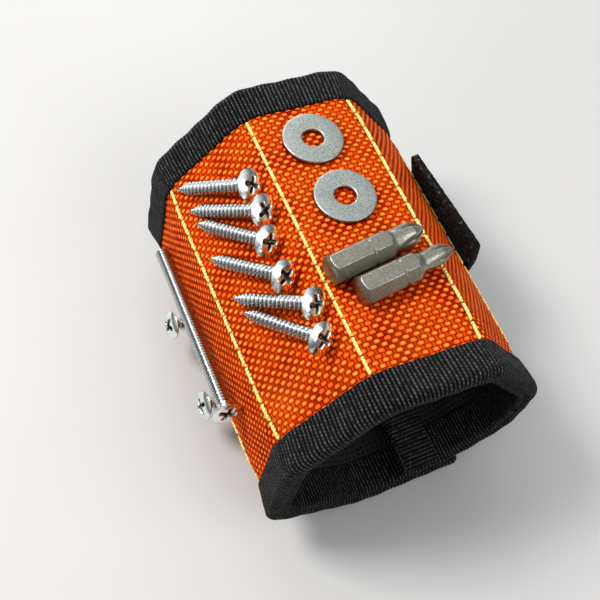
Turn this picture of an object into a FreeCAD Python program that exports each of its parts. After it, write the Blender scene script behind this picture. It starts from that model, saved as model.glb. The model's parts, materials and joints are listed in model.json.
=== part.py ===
"""Wrist-worn magnetic pin cushion: a padded fabric band that is wound round the wrist and closed by a hook tab.

The band is a chain of flat facets joined along fabric hinge lines, listed from the inner end outwards:
three loop-faced underlap facets, six pockets (five of them hold magnets), and three facets of hook tab.
Small steel hardware lies on the pockets: wood screws, washers, driver bits and a machine screw.

Frame: origin in the middle of the wrist opening, +Y along the forearm, +Z out of the back of the wrist.
A facet has its own coordinates: u runs from its first hinge line to its second, v is its outward normal
measured from the hinge line, and y is the row frame's Y. All lengths are in millimetres.
"""

import FreeCAD
import Part

import math
import os

# Band, across its width
OPEN_WIDTH = 72.0  # cover that shows between the two edge bindings
BINDING_WIDTH = 9.5
BAND_HALF = OPEN_WIDTH / 2 + BINDING_WIDTH
OPEN_HALF = OPEN_WIDTH / 2

# Band, along its length
POCKET_PITCH = 28.0  # from one stitch row to the next
POCKET_NORMALS = (30.0, 81.0, 129.0, 169.0, 238.0, 270.0)  # degrees from +X towards +Z, pockets 1 to 6
UNDERLAP_BEND = 44.0  # between underlap facets 1 and 2
UNDERLAP_END = 14.0  # length of the last underlap facet, which lies inside pocket 6
LAYER_PITCH = 5.5  # one turn of the band to the turn inside it
TAB_BASE_NORMAL = 306.0
TAB_LIFT = 2.7  # tab's hinge lines above the underlap's
TAB_MID_LENGTH = 18.5
TAB_TIP_LENGTH = 8.5
TAB_TIP_BEND = 18.0  # less than the band's own bend there, so the tip stands off for a finger to catch

# Layers, as heights v from the hinge line, which is the stitch thread's centre
THREAD_RADIUS = 0.33
COVER_SEAM = -0.4  # top of the cover where it is stitched down
COVER_THICK = 0.9
POCKET_RISE = 0.8  # how far the cover stands up over the magnets
SHOULDER = 4.0  # length of the slope up to that height
LINING_TOP = -1.35
LINING_THICK = 1.5
LINING_SAG = 1.65
EDGE_BOTTOM = -3.4  # underside of the padding inside the bindings
PILE_BOTTOM = -1.6
LEAF = 0.9  # thickness of the folded binding tape
BINDING_TOP = 0.55
SLIP = 0.05  # between layers that lie on each other
HINGE_GAP = 0.06  # each facet stops this far short of its mitre plane

# Magnets
MAGNET_SIZE = (16.0, 2.3, 20.0)  # along u, v and y
MAGNET_SPACING = 24.0
MAGNET_TOP = -0.6

# Hook tab
TAB_WIDTH = 33.0
TAB_CENTRE = 8.5
WEBBING_THICK = 1.7
HOOK_THICK = 1.0
HOOK_INSET = 1.5
HOOK_STOP = 0.5  # each hook patch stops this far short of the next fold

# Stitches
STITCH_PITCH = 4.8
STITCH_LENGTH = 4.0

# Hardware rests on this plane, just clear of the pocket's cover
REST_V = COVER_SEAM + POCKET_RISE + 0.1

WOOD_LENGTH = 27.0
WOOD_HEAD_RADIUS = 3.7
WOOD_HEAD_HEIGHT = 2.6
WOOD_THREAD_RADIUS = 1.75
WOOD_CORE_RADIUS = 1.25
WOOD_POINT = 5.5
WOOD_THREAD_PITCH = 1.5

MACHINE_LENGTH = 53.0
MACHINE_HEAD_RADIUS = 3.9
MACHINE_HEAD_HEIGHT = 2.4
MACHINE_THREAD_RADIUS = 1.75
MACHINE_CORE_RADIUS = 1.4
MACHINE_THREAD_PITCH = 0.8

WASHER_RADIUS = 7.5
WASHER_HOLE_RADIUS = 2.65
WASHER_THICK = 1.2

BIT_LENGTH = 25.0
BIT_FLATS = 6.35
BIT_HEX_LENGTH = 15.5
BIT_NECK_RADIUS = 2.35
BIT_TIP_RADIUS = 2.9
BIT_TIP_LENGTH = 6.5

# Where each piece of hardware lies: pocket, u and y of its point or centre, and the heading of its other
# end, in degrees from -u towards -y
WOOD_SCREWS = (
    (3, 24.7, 33.0, 37.0),
    (3, 24.1, 25.7, 38.3),
    (3, 23.5, 21.6, 47.7),
    (3, 24.1, 11.4, 46.0),
    (3, 22.8, -1.3, 38.0),
    (3, 21.7, -5.7, 48.0),
    (5, 23.0, 15.0, 0.0),
    (5, 23.0, -10.0, 0.0),
)
MACHINE_SCREW = (4, 18.9, 30.7, 82.7)
WASHERS = ((2, 14.9, 25.2), (2, 14.4, 7.3))
DRIVER_BITS = ((2, 2.6, -7.8, 170.7), (2, -1.6, -14.8, 170.7))


def unit(degrees):
    """Direction in the XZ plane at an angle from +X towards +Z."""
    return math.cos(math.radians(degrees)), math.sin(math.radians(degrees))


def step(point, degrees, length):
    dx, dz = unit(degrees)
    return point[0] + length * dx, point[1] + length * dz


def between(a, b):
    """(distance, direction in degrees) from point a to point b."""
    dx, dz = b[0] - a[0], b[1] - a[1]
    return math.hypot(dx, dz), math.degrees(math.atan2(dz, dx))


def beside(corner, normal_before, normal_after, distance):
    """The corner of a layer that lies outside the one with this corner by distance, or inside if negative."""
    half = (normal_after - normal_before) / 2
    return step(corner, normal_before + half, distance / math.cos(math.radians(half)))


def hinge_points():
    """Hinge lines as (x, z) points, from the inner end of the band to the tip of the tab."""
    pockets = [(0.0, 0.0)]
    for normal in POCKET_NORMALS:
        pockets.append(step(pockets[-1], normal + 90, POCKET_PITCH))

    root = beside(pockets[6], POCKET_NORMALS[5], TAB_BASE_NORMAL, -LAYER_PITCH)
    inner_end = step(root, POCKET_NORMALS[5] - 90, UNDERLAP_END)

    span, heading = between(root, pockets[0])
    width = span / 2 / math.cos(math.radians(UNDERLAP_BEND / 2))
    knee = step(root, heading - UNDERLAP_BEND / 2, width)

    knee_normal = heading - 90
    tab = [beside(knee, knee_normal - UNDERLAP_BEND / 2, knee_normal + UNDERLAP_BEND / 2, TAB_LIFT)]
    mid_heading = heading + UNDERLAP_BEND / 2
    tab.append(step(tab[0], mid_heading, TAB_MID_LENGTH))
    tab.append(step(tab[1], mid_heading + TAB_TIP_BEND, TAB_TIP_LENGTH))

    points = [inner_end, root, knee] + pockets + tab
    middle_x = (min(p[0] for p in pockets) + max(p[0] for p in pockets)) / 2
    middle_z = (min(p[1] for p in pockets) + max(p[1] for p in pockets)) / 2
    return [(x - middle_x, z - middle_z) for x, z in points]


class Facet:
    """One stiff length of the band between two hinge lines."""

    def __init__(self, name, start, end):
        self.name = name
        self.start = start
        self.end = end
        self.width, self.heading = between(start, end)
        self.bend_in = 0.0
        self.bend_out = 0.0

    def normal(self):
        return (self.heading - 90) % 360

    def place(self, shape):
        """Moves a shape from this facet's (u, v, y) coordinates into the row frame."""
        along, out = unit(self.heading), unit(self.heading - 90)
        matrix = FreeCAD.Matrix(
            along[0], out[0], 0, self.start[0],
            0, 0, 1, 0,
            along[1], out[1], 0, self.start[1],
            0, 0, 0, 1,
        )  # fmt: skip
        shape.Placement = FreeCAD.Placement(matrix).multiply(shape.Placement)
        return shape

    def sector(self):
        """The space this facet may fill: mitred below the hinge lines, so the ring closes, and square above."""
        depth, top = 8.0, 12.0
        low_in = depth * math.tan(math.radians(max(self.bend_in, 0) / 2))
        low_out = depth * math.tan(math.radians(max(self.bend_out, 0) / 2))
        first, last = HINGE_GAP, self.width - HINGE_GAP
        outline = (
            (first, top),
            (last, top),
            (last, 0),
            (last - low_out, -depth),
            (first + low_in, -depth),
            (first, 0),
        )
        return slab(outline, -BAND_HALF - 1, BAND_HALF + 1)


FACET_NAMES = (
    "underlap_3", "underlap_2", "underlap_1",
    "pocket_1", "pocket_2", "pocket_3", "pocket_4", "pocket_5", "pocket_6",
    "tab_base", "tab_mid", "tab_tip",
)  # fmt: skip


def make_facets():
    points = hinge_points()
    facets = [Facet(name, points[k], points[k + 1]) for k, name in enumerate(FACET_NAMES)]
    for before, after in zip(facets, facets[1:]):
        bend = (after.heading - before.heading + 180) % 360 - 180
        before.bend_out = bend
        after.bend_in = bend
    return facets


def slab(outline, y_low, y_high):
    """A (u, v) outline extruded along y."""
    corners = [FreeCAD.Vector(u, v, y_low) for u, v in outline]
    face = Part.Face(Part.makePolygon(corners + corners[:1]))
    return face.extrude(FreeCAD.Vector(0, 0, y_high - y_low))


def block(u_low, u_high, v_low, v_high, y_low, y_high):
    corner = FreeCAD.Vector(u_low, v_low, y_low)
    return Part.makeBox(u_high - u_low, v_high - v_low, y_high - y_low, corner)


def finish(facet, shape):
    """Trims a layer to its facet's sector and moves it into the row frame."""
    return facet.place(shape.common(facet.sector()))


def raised_layer(facet, top, thickness, rise, flat_end=0.0):
    """A sheet whose middle stands off its stitched ends by rise, with level strips under the bindings."""
    last = facet.width - flat_end
    upper = (
        (0, top),
        (SHOULDER, top + rise),
        (last - SHOULDER, top + rise),
        (last, top),
        (facet.width, top),
    )
    lower = [(u, v - thickness) for u, v in reversed(upper)]
    middle = slab((*upper, *lower), -OPEN_HALF, OPEN_HALF)
    reach = BAND_HALF - LEAF - SLIP
    bottom = min(top - thickness, EDGE_BOTTOM) if rise < 0 else top - thickness
    for y_low, y_high in ((-reach, -OPEN_HALF), (OPEN_HALF, reach)):
        middle = middle.fuse(block(0, facet.width, bottom, top, y_low, y_high))
    return middle.removeSplitter()


def cover(facet, flat_end):
    return finish(facet, raised_layer(facet, COVER_SEAM, COVER_THICK, POCKET_RISE, flat_end))


def lining(facet, flat_end):
    return finish(facet, raised_layer(facet, LINING_TOP, LINING_THICK, -LINING_SAG, flat_end))


def binding(facet, closed_start=False, closed_end=False):
    """Folded tape round both long edges of a facet, and round an end of the band where that end is closed."""
    low, high = EDGE_BOTTOM - SLIP - LEAF, BINDING_TOP
    start = BINDING_WIDTH if closed_start else -1
    end = facet.width - BINDING_WIDTH if closed_end else facet.width + 1
    body = block(0, facet.width, low, high, -BAND_HALF, BAND_HALF)
    window = block(start, end, low - 1, high + 1, -OPEN_HALF, OPEN_HALF)
    first = LEAF if closed_start else -1
    last = facet.width - LEAF if closed_end else facet.width + 1
    reach = BAND_HALF - LEAF
    channel = block(first, last, EDGE_BOTTOM - SLIP, COVER_SEAM + SLIP, -reach, reach)
    return finish(facet, body.cut(window).cut(channel))


def edge_trim(facet, shape, closed_start, closed_end):
    """Shortens a layer so that it ends inside the folded tape of a closed end."""
    clearance = LEAF + SLIP
    first = clearance if closed_start else -1
    last = facet.width - clearance if closed_end else facet.width + 1
    return shape.common(block(first, last, -20, 20, -BAND_HALF, BAND_HALF))


def magnets(facet):
    length, thick, wide = MAGNET_SIZE
    solids = []
    for row in (-1, 0, 1):
        u, y = (facet.width - length) / 2, row * MAGNET_SPACING - wide / 2
        piece = block(u, u + length, MAGNET_TOP - thick, MAGNET_TOP, y, y + wide)
        piece = piece.makeChamfer(0.25, piece.Edges)
        solids.append(facet.place(piece))
    return Part.makeCompound(solids)


def stitch_row(facet):
    """Short thread segments along the facet's first hinge line, which is their common centre line."""
    count = int(OPEN_WIDTH // STITCH_PITCH)
    first = -count * STITCH_PITCH / 2 + (STITCH_PITCH - STITCH_LENGTH) / 2
    solids = []
    for k in range(count):
        start = FreeCAD.Vector(0, 0, first + k * STITCH_PITCH)
        solids.append(facet.place(Part.makeCylinder(THREAD_RADIUS, STITCH_LENGTH, start)))
    return Part.makeCompound(solids)


def underlap_layers(facet, closed_start):
    """(loop pile, padded backing, edge binding) of an underlap facet."""
    reach = BAND_HALF - LEAF - SLIP
    pile = block(0, facet.width, PILE_BOTTOM, COVER_SEAM, -reach, reach)
    backing = block(0, facet.width, EDGE_BOTTOM, PILE_BOTTOM - SLIP, -reach, reach)
    pile = edge_trim(facet, pile, closed_start, False)
    backing = edge_trim(facet, backing, closed_start, False)
    return finish(facet, pile), finish(facet, backing), binding(facet, closed_start)


def tab_webbing(facet):
    low, high = TAB_CENTRE - TAB_WIDTH / 2, TAB_CENTRE + TAB_WIDTH / 2
    sheet = block(0, facet.width, -WEBBING_THICK, 0, low, high)
    if facet.bend_out == 0:
        corners = [e for e in sheet.Edges if abs(e.CenterOfMass.x - facet.width) < 0.01]
        upright = [e for e in corners if abs(e.Length - WEBBING_THICK) < 0.01]
        sheet = sheet.makeFillet(4.0, upright)
    return finish(facet, sheet)


def tab_hook(facet):
    half = TAB_WIDTH / 2 - HOOK_INSET
    top = -WEBBING_THICK - SLIP
    last = facet.width - HOOK_STOP
    patch = block(0, last, top - HOOK_THICK, top, TAB_CENTRE - half, TAB_CENTRE + half)
    return finish(facet, patch)


def revolved(profile):
    """A solid of revolution about its own +Z from (radius, height) points that start and end on the axis."""
    points = [FreeCAD.Vector(radius, 0, height) for radius, height in profile]
    face = Part.Face(Part.makePolygon(points + points[:1]))
    return face.revolve(FreeCAD.Vector(0, 0, 0), FreeCAD.Vector(0, 0, 1), 360)


def thread_profile(start, end, pitch, core, crest):
    """Ridges of a thread as (radius, height) points, one ridge to each pitch."""
    count = int((end - start) / pitch)
    profile = []
    for k in range(count):
        base = start + k * pitch
        profile.append((core, base))
        profile.append((core, base + 0.3 * pitch))
        profile.append((crest, base + 0.6 * pitch))
        profile.append((crest, base + 0.7 * pitch))
    profile.append((core, start + count * pitch))
    return profile


def cross_recess(face_height, reach, arm_width, depth):
    """The cutter for a cross-slot drive in a head whose outer face is at face_height."""
    cutter = None
    outline = (
        (-reach, face_height + 0.1),
        (reach, face_height + 0.1),
        (reach * 0.45, face_height - depth),
        (-reach * 0.45, face_height - depth),
    )
    for turn in (0, 90):
        points = [FreeCAD.Vector(x, -arm_width / 2, z) for x, z in outline]
        arm = Part.Face(Part.makePolygon(points + points[:1])).extrude(FreeCAD.Vector(0, arm_width, 0))
        arm.rotate(FreeCAD.Vector(0, 0, 0), FreeCAD.Vector(0, 0, 1), turn)
        cutter = arm if cutter is None else cutter.fuse(arm)
    return cutter


def wood_screw():
    """Truss-head screw with its point at the origin and its head's face at WOOD_LENGTH on +Z."""
    neck = WOOD_LENGTH - WOOD_HEAD_HEIGHT
    radius, head = WOOD_HEAD_RADIUS, WOOD_HEAD_HEIGHT
    point = [(0, 0), (WOOD_CORE_RADIUS * 0.35, 0.9), (WOOD_CORE_RADIUS, WOOD_POINT - 0.4)]
    thread = thread_profile(
        WOOD_POINT, neck - 0.6, WOOD_THREAD_PITCH, WOOD_CORE_RADIUS, WOOD_THREAD_RADIUS
    )
    dome = [
        (WOOD_THREAD_RADIUS, neck),
        (radius * 0.96, neck),
        (radius, neck + 0.12 * head),
        (radius * 0.97, neck + 0.4 * head),
        (radius * 0.82, neck + 0.72 * head),
        (radius * 0.55, neck + 0.93 * head),
        (radius * 0.3, WOOD_LENGTH),
        (0, WOOD_LENGTH),
    ]
    screw = revolved(point + thread + dome)
    return screw.cut(cross_recess(WOOD_LENGTH, 2.1, 0.95, 1.7))


def machine_screw():
    """Countersunk screw with its threaded end at the origin and its head's face at MACHINE_LENGTH on +Z."""
    neck = MACHINE_LENGTH - MACHINE_HEAD_HEIGHT
    end = [(0, 0), (MACHINE_CORE_RADIUS * 0.9, 0)]
    thread = thread_profile(
        0.4, neck - 0.8, MACHINE_THREAD_PITCH, MACHINE_CORE_RADIUS, MACHINE_THREAD_RADIUS
    )
    head = [
        (MACHINE_THREAD_RADIUS, neck),
        (MACHINE_HEAD_RADIUS, MACHINE_LENGTH - 0.35),
        (MACHINE_HEAD_RADIUS, MACHINE_LENGTH),
        (0, MACHINE_LENGTH),
    ]
    screw = revolved(end + thread + head)
    return screw.cut(cross_recess(MACHINE_LENGTH, 2.2, 0.9, 1.8))


def washer():
    """Flat washer about +Z, its lower face at 0."""
    disc = Part.makeCylinder(WASHER_RADIUS, WASHER_THICK)
    disc = disc.cut(Part.makeCylinder(WASHER_HOLE_RADIUS, WASHER_THICK))
    rim = [e for e in disc.Edges if abs(e.Length - 2 * math.pi * WASHER_RADIUS) < 0.01]
    return disc.makeChamfer(0.12, rim)


def driver_bit():
    """Cross-point driver bit with its point at the origin and its hexagon's butt at BIT_LENGTH on +Z."""
    corner = BIT_FLATS / math.sqrt(3)
    hex_start = BIT_LENGTH - BIT_HEX_LENGTH
    ring = [FreeCAD.Vector(corner * unit(60 * k)[0], corner * unit(60 * k)[1], hex_start) for k in range(7)]
    shank = Part.Face(Part.makePolygon(ring)).extrude(FreeCAD.Vector(0, 0, BIT_HEX_LENGTH))
    turned = revolved(
        [
            (0, hex_start),
            (BIT_NECK_RADIUS + 0.1, hex_start),
            (corner + 0.1, hex_start + 1.3),
            (corner + 0.1, BIT_LENGTH - 0.8),
            (corner - 0.9, BIT_LENGTH),
            (0, BIT_LENGTH),
        ]
    )
    point = revolved(
        [
            (0, 0),
            (0.75, 0),
            (BIT_TIP_RADIUS, BIT_TIP_LENGTH * 0.72),
            (BIT_TIP_RADIUS, BIT_TIP_LENGTH),
            (BIT_NECK_RADIUS, BIT_TIP_LENGTH + 1.2),
            (BIT_NECK_RADIUS, hex_start + 0.01),
            (0, hex_start + 0.01),
        ]
    )
    for turn in range(4):
        groove = Part.makeCylinder(1.35, BIT_TIP_LENGTH + 2, FreeCAD.Vector(0, 0, -0.5))
        groove.rotate(FreeCAD.Vector(0, 0, -0.5), FreeCAD.Vector(0, 1, 0), 14)
        groove.translate(FreeCAD.Vector(1.75, 0, 0))
        groove.rotate(FreeCAD.Vector(0, 0, 0), FreeCAD.Vector(0, 0, 1), 45 + 90 * turn)
        point = point.cut(groove)
    return shank.common(turned).fuse(point).removeSplitter()


def lay_down(facet, shape, u, y, heading, height, tilt=0.0, roll=0.0):
    """Lays a shape's +Z along the facet with its origin over (u, y): height is its axis above the rest plane.

    heading turns +Z from -u towards -y, and tilt raises the far end.
    """
    axis_x, axis_y, axis_z = FreeCAD.Vector(1, 0, 0), FreeCAD.Vector(0, 1, 0), FreeCAD.Vector(0, 0, 1)
    turns = FreeCAD.Rotation(axis_y, -90)  # +Z to -u
    turns = FreeCAD.Rotation(axis_z, -tilt).multiply(turns)
    turns = FreeCAD.Rotation(axis_y, -heading).multiply(turns)
    turns = turns.multiply(FreeCAD.Rotation(axis_z, roll))
    laid = shape.copy()
    laid.Placement = FreeCAD.Placement(FreeCAD.Vector(u, REST_V + height, y), turns)
    return facet.place(laid)


def resting_tilt(near_radius, near_at, far_radius, far_at):
    """(axis height at the origin, tilt in degrees) of a shaft that rests on two rims of unlike radius."""
    tilt = math.asin((far_radius - near_radius) / (far_at - near_at))
    return near_radius - near_at * math.sin(tilt), math.degrees(tilt)


def make_hardware(facets):
    """Every loose piece as {node: shape}."""
    pocket = {n: facets[FACET_NAMES.index(f"pocket_{n}")] for n in range(1, 7)}
    nodes = {}

    screw = wood_screw()
    rim = WOOD_LENGTH - WOOD_HEAD_HEIGHT
    height, tilt = resting_tilt(WOOD_THREAD_RADIUS, WOOD_POINT, WOOD_HEAD_RADIUS, rim)
    for k, (number, u, y, heading) in enumerate(WOOD_SCREWS, 1):
        laid = lay_down(pocket[number], screw, u, y, heading, height + 0.1, tilt, roll=25 * k)
        nodes[f"wood_screw_{k}"] = laid

    number, u, y, heading = MACHINE_SCREW
    height, tilt = resting_tilt(MACHINE_THREAD_RADIUS, 0, MACHINE_HEAD_RADIUS, MACHINE_LENGTH)
    laid = lay_down(pocket[number], machine_screw(), u, y, heading, height, tilt, roll=30)
    nodes["machine_screw"] = laid

    for k, (number, u, y) in enumerate(WASHERS, 1):
        flat = washer()
        stand = FreeCAD.Rotation(FreeCAD.Vector(1, 0, 0), -90)  # +Z to +v
        flat.Placement = FreeCAD.Placement(FreeCAD.Vector(u, REST_V, y), stand)
        nodes[f"washer_{k}"] = pocket[number].place(flat)

    bit = driver_bit()
    for k, (number, u, y, heading) in enumerate(DRIVER_BITS, 1):
        laid = lay_down(pocket[number], bit, u, y, heading, BIT_FLATS / 2, roll=0)
        nodes[f"driver_bit_{k}"] = laid
    return nodes


def make_band(facets):
    """Every piece of the band as {node: shape}."""
    nodes = {}
    for facet in facets:
        kind, number = facet.name.split("_")
        if kind == "pocket":
            last = facet.name == "pocket_6"
            flat_end = BINDING_WIDTH if last else 0.0
            skin, pad = cover(facet, flat_end), lining(facet, flat_end)
            if last:
                stop = facet.width - LEAF - SLIP
                keep = facet.place(block(-1, stop, -20, 20, -BAND_HALF, BAND_HALF))
                skin, pad = skin.common(keep), pad.common(keep)
            nodes[f"cover_{number}"] = skin
            nodes[f"lining_{number}"] = pad
            nodes[f"binding_{number}"] = binding(facet, closed_end=last)
            if not last:
                nodes[f"magnets_{number}"] = magnets(facet)
            nodes[f"stitch_row_{number}"] = stitch_row(facet)
        elif kind == "underlap":
            layers = underlap_layers(facet, closed_start=number == "3")
            names = ("loop_pile", "underlap_backing", "underlap_binding")
            for name, layer in zip(names, layers):
                nodes[f"{name}_{number}"] = layer
        else:
            nodes[f"tab_webbing_{number}"] = tab_webbing(facet)
            if number != "tip":
                nodes[f"tab_hook_{number}"] = tab_hook(facet)
    return nodes


def main():
    facets = make_facets()
    nodes = {**make_band(facets), **make_hardware(facets)}
    os.makedirs("parts", exist_ok=True)
    for name, shape in nodes.items():
        shape.exportStep(f"parts/{name}.step")


main()
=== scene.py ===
"""Looks for the wrist pin cushion: a padded magnetic band of orange nylon, edged with black tape.

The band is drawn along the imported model's chain of facets. A point of it is given by s, the distance along
the chain, y, across the band, and v, the height above the chain's hinge lines, all in millimetres. Facets
are numbered k, and q is the distance round a piece's section. Every layer is cut in the middle of each
facet, so that each piece bends over one hinge and meets its neighbours where they are stiff.
"""

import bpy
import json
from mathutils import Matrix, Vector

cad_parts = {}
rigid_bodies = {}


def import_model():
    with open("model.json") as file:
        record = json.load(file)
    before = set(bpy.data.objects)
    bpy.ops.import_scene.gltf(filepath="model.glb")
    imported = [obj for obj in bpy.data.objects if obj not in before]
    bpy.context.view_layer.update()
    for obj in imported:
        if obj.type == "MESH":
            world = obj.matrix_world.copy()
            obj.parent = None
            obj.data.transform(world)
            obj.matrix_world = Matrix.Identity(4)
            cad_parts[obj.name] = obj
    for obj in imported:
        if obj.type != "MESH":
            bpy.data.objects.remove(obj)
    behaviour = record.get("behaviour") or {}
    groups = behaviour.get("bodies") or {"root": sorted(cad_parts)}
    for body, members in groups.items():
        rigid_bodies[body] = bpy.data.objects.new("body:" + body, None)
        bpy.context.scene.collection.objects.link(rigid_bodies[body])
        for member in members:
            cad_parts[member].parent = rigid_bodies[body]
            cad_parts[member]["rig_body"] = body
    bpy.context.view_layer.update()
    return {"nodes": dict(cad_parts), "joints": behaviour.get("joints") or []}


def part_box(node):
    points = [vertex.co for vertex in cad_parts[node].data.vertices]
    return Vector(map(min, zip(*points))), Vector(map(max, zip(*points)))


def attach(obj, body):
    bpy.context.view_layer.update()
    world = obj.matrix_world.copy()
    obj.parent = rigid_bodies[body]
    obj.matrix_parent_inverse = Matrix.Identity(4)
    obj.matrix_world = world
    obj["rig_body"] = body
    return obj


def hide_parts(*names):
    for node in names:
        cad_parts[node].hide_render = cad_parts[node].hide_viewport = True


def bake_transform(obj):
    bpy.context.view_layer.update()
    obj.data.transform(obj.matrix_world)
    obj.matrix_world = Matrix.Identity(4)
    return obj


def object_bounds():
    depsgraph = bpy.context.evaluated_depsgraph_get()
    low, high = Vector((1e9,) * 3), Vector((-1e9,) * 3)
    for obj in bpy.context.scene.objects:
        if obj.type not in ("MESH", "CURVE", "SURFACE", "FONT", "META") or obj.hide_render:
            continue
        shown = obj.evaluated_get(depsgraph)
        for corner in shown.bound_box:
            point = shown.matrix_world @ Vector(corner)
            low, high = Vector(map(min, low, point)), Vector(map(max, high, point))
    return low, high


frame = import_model()

import json
import math
from functools import partial

import bmesh
import bpy
import numpy as np
from mathutils import Matrix, Vector

MM = 0.001
SEED = 7
FINE = 0.26  # spacing of the points of woven surfaces
COARSE = 0.55  # of plainer ones
HIDDEN = 2.0  # and of hidden sides, across the band
TAPE_STEP = FINE * 1.1
TAPE_ROUND_STEP = FINE * 1.15
TAB_STEP = COARSE * 0.7

POCKETS = tuple(f"pocket_{number}" for number in range(1, 7))
BAND = ("underlap_3", "underlap_2", "underlap_1", *POCKETS)
TAB = ("pocket_6", "tab_base", "tab_mid", "tab_tip")

# Folds
SOFT_MIDDLE = 1.1  # rounding of the folds in the middle of the band, and at its edges
SOFT_EDGE = 5.5
EDGE_WIDTH = 8.0  # over this distance the one passes into the other
CORNER_FILL = 0.5  # how far the thick edges stand out at a fold of one radian
FILL_REACH = 8.0  # and how far along the band from the fold

# Cover: yarns lie along s, each over and under short crossing yarns
WEAVE = 1.15  # pitch of the yarns
WEAVE_REPEAT = 2.6  # length along s after which a yarn comes up again
WEAVE_HEIGHT = 0.28
FLOAT_SHARE = 0.66  # how much of each repeat the yarn lies on top
COVER_V = -0.4
COVER_THICK = 0.9
COVER_LIFT = 0.15
SWELL = 0.62  # rise of a pocket's cloth over its magnets
SEAM_PULL = 0.5  # how deep the stitching pulls the cover down
SEAM_WIDTH = 1.12  # and how far on each side of it
HOLE_WIDTH = 0.9
TUCK = 1.4  # how far the layers between the bindings run in under them

# Tape
TAPE_RIB = 1.0
TAPE_KNUCKLE = 0.85
TAPE_HEIGHT = 0.2
TAPE_PUCKER = 0.10
BINDING_DEPTH = 9.4  # how far the folded tape reaches in from the edge
BINDING_COVERS = 0.8  # how much of that lies over the ends of the other layers
END_PROUD = 0.3  # the tape across the band's ends lies over the tape along its sides
END_LIFT = 0.03
CORNER_INSET = 0.4  # the side tapes stop this far short of the band's ends

# Lining
LINING_TOP = -1.4
LINING_BOTTOM = -3.2
LINING_SAG = 1.5  # how far the magnets push the lining in
SAG_REACH = 6.5

# Loop pile
PILE_BOTTOM = -1.35
PILE_FLUFF = 0.28

# Thread
STITCH_PITCH = 4.8
STITCH_GAP = 0.05
STITCH_RADIUS = 0.40
STITCH_LIFT = 0.2
STITCH_DIVE = 0.5  # how deep the ends of a stitch go into the cloth
HOLE_RADIUS = 0.24


def corners(node):
    """Lowest and highest corner of a CAD node."""
    return np.array(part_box(node)) / MM


def points_of(node):
    """The points of a CAD node's mesh."""
    return np.array([v.co for v in frame["nodes"][node].data.vertices]) / MM


OPEN_HALF = corners("stitch_row_2")[1, 1]
BAND_HALF = corners("binding_2")[1, 1]

# ---- The chain of facets ----


def hinge_between(first, second):
    """(x, z) of the hinge line that joins two bodies."""
    pair = {first, second}
    x, _, z = next(j["pos_m"] for j in frame["joints"] if {j["parent"], j["child"]} == pair)
    return np.array([x, z]) / MM


def inner_end():
    """Where the band starts: the last underlap facet lies level."""
    return np.array([corners("underlap_binding_3")[0, 0], hinge_between("underlap_3", "underlap_2")[1]])


def tab_end():
    """The outer corner of the tab's tip, which is its highest point."""
    points = points_of("tab_webbing_tip")
    return points[points[:, 2].argmax(), [0, 2]]


def in_space(xz, y):
    """Points (x, y, z) from their (x, z) and y."""
    return np.stack([xz[..., 0], np.broadcast_to(y, xz.shape[:-1]), xz[..., 1]], axis=-1)


class Path:
    """A row of facets as a curve that layers are drawn along."""

    def __init__(self, bodies, start, end):
        inner = [hinge_between(a, b) for a, b in zip(bodies, bodies[1:])]
        knots = np.array([start, *inner, end])
        legs = knots[1:] - knots[:-1]
        self.bodies = bodies
        self.knots = knots
        self.width = np.hypot(*legs.T)
        self.along = legs / self.width[:, None]
        self.out = np.stack([self.along[:, 1], -self.along[:, 0]], axis=1)
        self.s = np.concatenate([[0.0], np.cumsum(self.width)])
        self.middles = (self.s[:-1] + self.s[1:]) / 2
        heading = np.unwrap(np.arctan2(self.along[:, 1], self.along[:, 0]))
        self.bend = np.diff(heading)
        half = np.tan(self.bend / 2)
        self.mitre_in = np.concatenate([[0.0], half])
        self.mitre_out = np.concatenate([half, [0.0]])

    def facet(self, s):
        return np.clip(np.searchsorted(self.s, s, side="right") - 1, 0, len(self.width) - 1)

    def sharp(self, s, v):
        """(x, z) of points on the facets themselves, mitred at the hinge lines."""
        k = self.facet(s)
        share = (s - self.s[k]) / self.width[k]
        low = -v * self.mitre_in[k]
        high = self.width[k] + v * self.mitre_out[k]
        u = low + share * (high - low)
        return self.knots[k] + u[..., None] * self.along[k] + v[..., None] * self.out[k]

    def at(self, s, v, soft):
        """(x, z) of points with the corners rounded over about soft on each side."""
        s, v, soft = np.broadcast_arrays(*[np.asarray(a, float) for a in (s, v, soft)])
        offsets = np.linspace(-2, 2, 13)
        weights = np.exp(-(offsets**2))
        total = sum(w * self.sharp(s + soft * o, v) for w, o in zip(weights, offsets))
        return total / weights.sum()

    def fill(self, s):
        """How far thick edges stand out over the folds."""
        reach = np.exp(-(((np.asarray(s)[..., None] - self.s[1:-1]) / FILL_REACH) ** 2))
        return CORNER_FILL * np.sum(reach * self.bend, axis=-1)

    def from_hinge(self, s):
        """Distance along the band to the nearest hinge line."""
        return np.min(np.abs(np.asarray(s)[..., None] - self.s[1:-1]), axis=-1)

    def start_of(self, body):
        return self.s[self.bodies.index(body)]

    def end_of(self, body):
        return self.s[self.bodies.index(body) + 1]


band = Path(BAND, inner_end(), hinge_between("pocket_6", "tab_base"))
tab = Path(TAB, hinge_between("pocket_5", "pocket_6"), tab_end())


def spread(low, high, spacing):
    """Even steps from low to high, about spacing apart."""
    return np.linspace(low, high, max(2, int(round((high - low) / spacing)) + 1))


def ring_angles(count):
    return np.linspace(0, 2 * np.pi, count, endpoint=False)[None, :]


# ---- Meshes ----


def new_object(name, mesh, material):
    mesh.materials.append(material)
    piece = bpy.data.objects.new(name, mesh)
    bpy.context.scene.collection.objects.link(piece)
    return piece


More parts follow.
